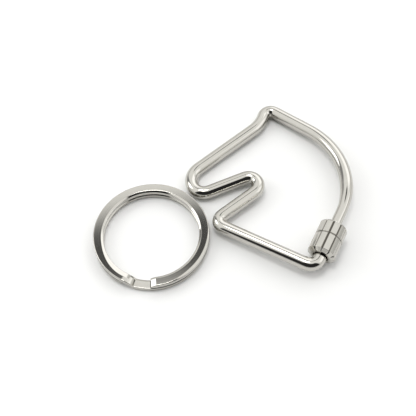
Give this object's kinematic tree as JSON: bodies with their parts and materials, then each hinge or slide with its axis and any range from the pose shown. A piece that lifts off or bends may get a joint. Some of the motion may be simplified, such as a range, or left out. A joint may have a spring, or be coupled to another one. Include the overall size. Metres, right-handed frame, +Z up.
{
  "type": "carabiner keyring",
  "caption": "Horse-head bent-wire carabiner closed by a knurled screw sleeve, with a flat split ring lying beside it.",
  "frame": {"origin": "centre of the whole object's bounding box in plan, at the height of the table top it lies on", "axes": "+Z up, +X from the split ring towards the carabiner's sleeve, +Y from the table's near edge away"},
  "size_m": [0.0686, 0.0552, 0.0075],
  "materials": {
    "wire_nickel": "polished nickel plate",
    "sleeve_nickel": "nickel plate over turned and fluted metal",
    "ring_nickel": "nickel plate over rolled flat steel"
  },
  "bodies": {
    "carabiner": {"frame_wire": "wire_nickel"},
    "sleeve": {"screw_sleeve": "sleeve_nickel"},
    "ring": {"split_ring": "ring_nickel"}
  },
  "joints": [
    {"name": "sleeve_slide", "type": "slide", "parent": "carabiner", "child": "sleeve", "axis": [0.4713, 0.8818, -0.0167], "range_m": [0, 0.006]},
    {"name": "ring_slide", "type": "slide", "parent": "carabiner", "child": "ring", "axis": [-1, 0, 0], "range_m": [0, 0.02]}
  ]
}
